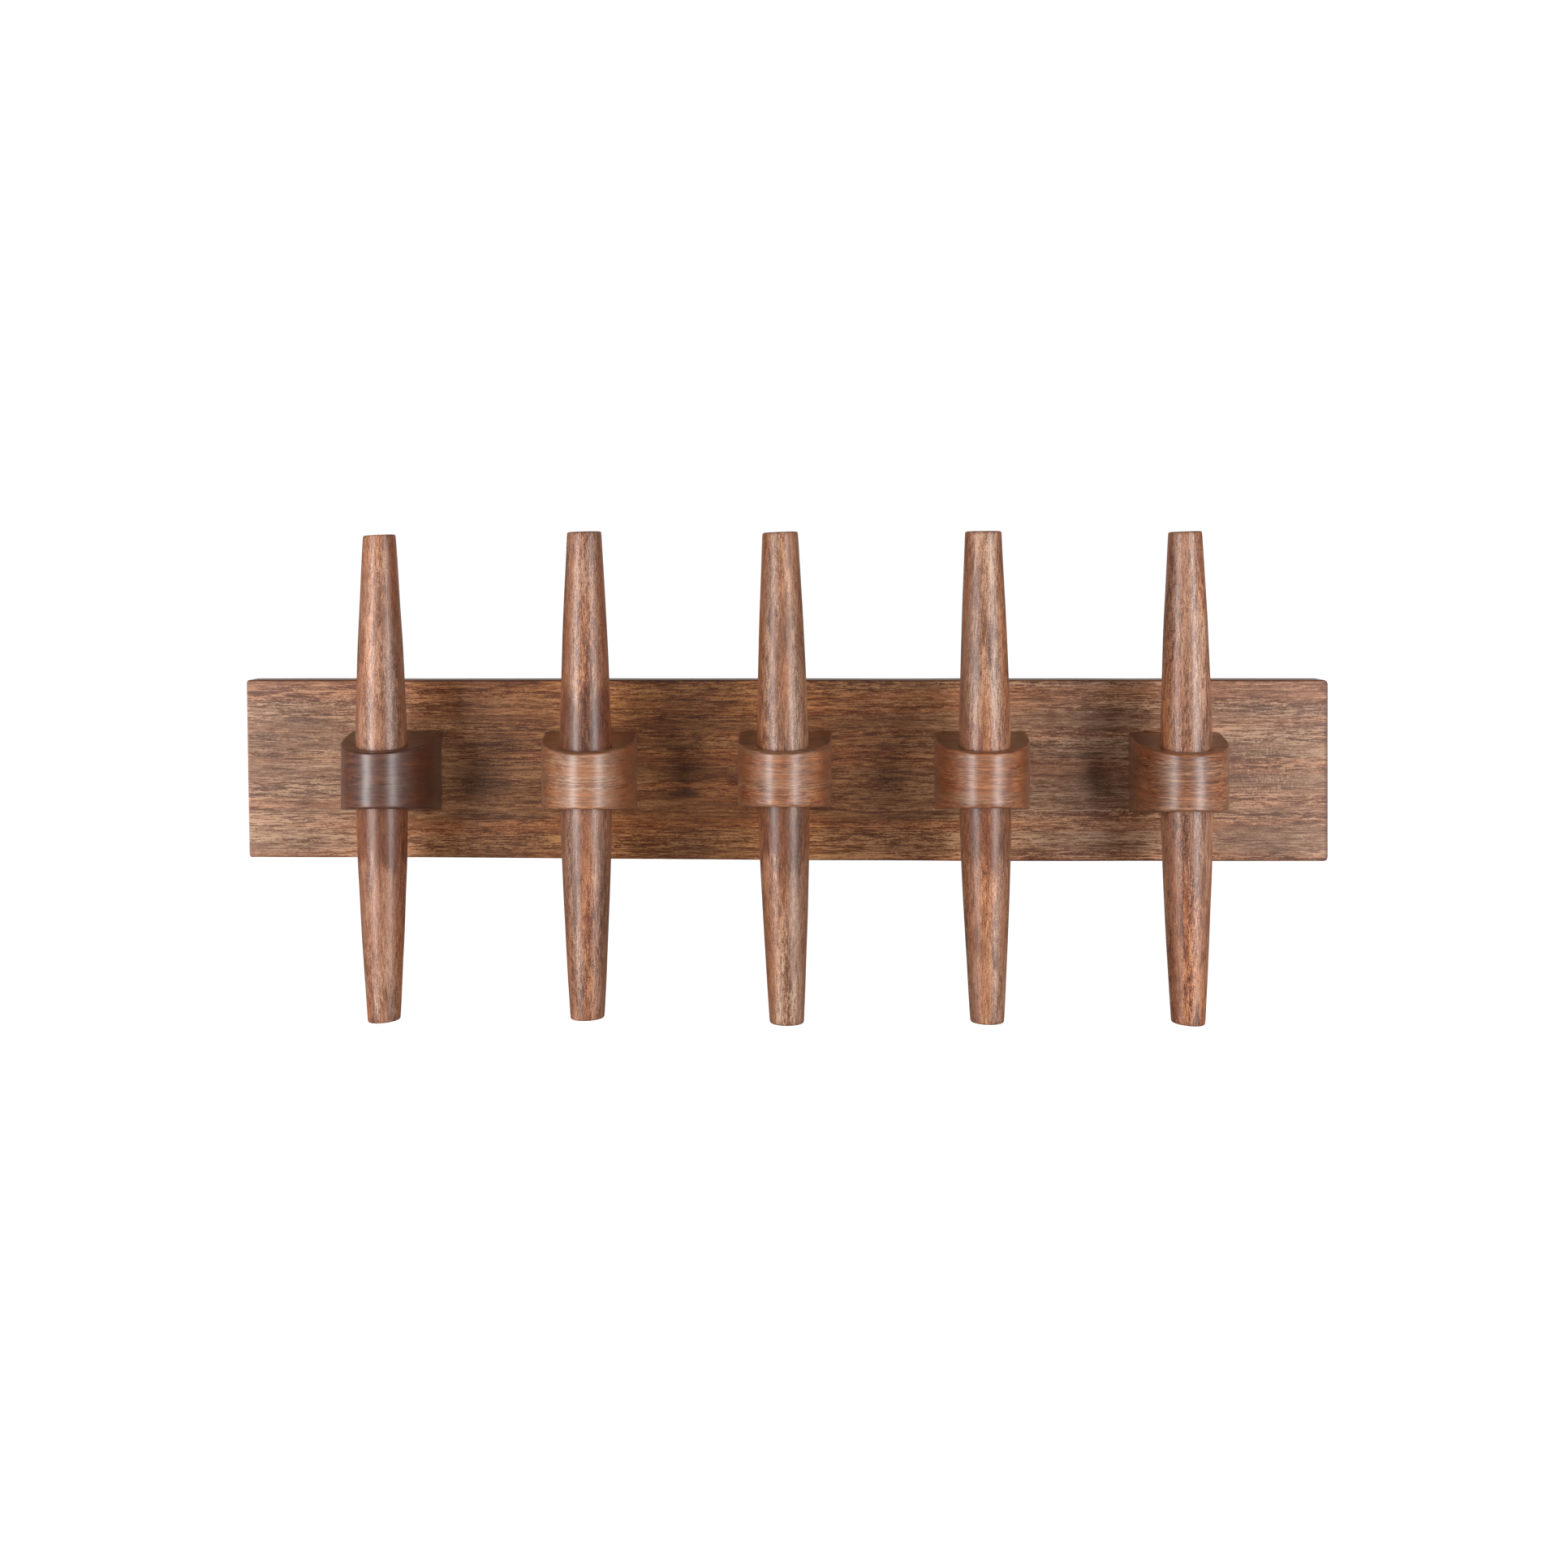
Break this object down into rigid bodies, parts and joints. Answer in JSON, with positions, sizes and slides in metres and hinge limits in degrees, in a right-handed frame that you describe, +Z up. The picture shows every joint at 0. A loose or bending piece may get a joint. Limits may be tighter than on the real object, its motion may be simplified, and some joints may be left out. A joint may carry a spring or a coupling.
{
  "type": "wall hook rack",
  "caption": "Wooden wall hook rack: a long backboard carries D-shaped blocks, each holding an upright round rod tapered at both ends, so coats, hats and bags hang above and below.",
  "frame": {"origin": "centre of the backboard's back face, on the wall plane", "axes": "+X along the board to the right as seen from the front, +Y into the wall, +Z up"},
  "size_m": [0.612, 0.0838, 0.2686],
  "materials": {
    "backboard": "satin clear coat over warm brown stained wood, grain along the length",
    "hook_block_1": "satin clear coat over dark brown wood, grain level",
    "hook_block_2": "satin clear coat over dark brown wood, grain level",
    "hook_block_3": "satin clear coat over dark brown wood, grain level",
    "hook_block_4": "satin clear coat over dark brown wood, grain level",
    "hook_block_5": "satin clear coat over dark brown wood, grain level",
    "hook_rod_1": "satin clear coat over streaked brown wood, grain along the rod",
    "hook_rod_2": "satin clear coat over streaked brown wood, grain along the rod",
    "hook_rod_3": "satin clear coat over streaked brown wood, grain along the rod",
    "hook_rod_4": "satin clear coat over streaked brown wood, grain along the rod",
    "hook_rod_5": "satin clear coat over streaked brown wood, grain along the rod",
    "screw_steel": "yellow zinc plated",
    "hanger_steel": "zinc plated, lightly brushed"
  },
  "bodies": {
    "root": {"backboard": "backboard", "hook_block_1": "hook_block_1", "hook_block_2": "hook_block_2", "hook_block_3": "hook_block_3", "hook_block_4": "hook_block_4", "hook_block_5": "hook_block_5", "hook_rod_1": "hook_rod_1", "hook_rod_2": "hook_rod_2", "hook_rod_3": "hook_rod_3", "hook_rod_4": "hook_rod_4", "hook_rod_5": "hook_rod_5", "block_screw_1_upper": "screw_steel", "block_screw_1_lower": "screw_steel", "block_screw_2_upper": "screw_steel", "block_screw_2_lower": "screw_steel", "block_screw_3_upper": "screw_steel", "block_screw_3_lower": "screw_steel", "block_screw_4_upper": "screw_steel", "block_screw_4_lower": "screw_steel", "block_screw_5_upper": "screw_steel", "block_screw_5_lower": "screw_steel", "keyhole_hanger_left": "hanger_steel", "hanger_screw_left_upper": "screw_steel", "hanger_screw_left_lower": "screw_steel", "keyhole_hanger_right": "hanger_steel", "hanger_screw_right_upper": "screw_steel", "hanger_screw_right_lower": "screw_steel"}
  },
  "joints": []
}
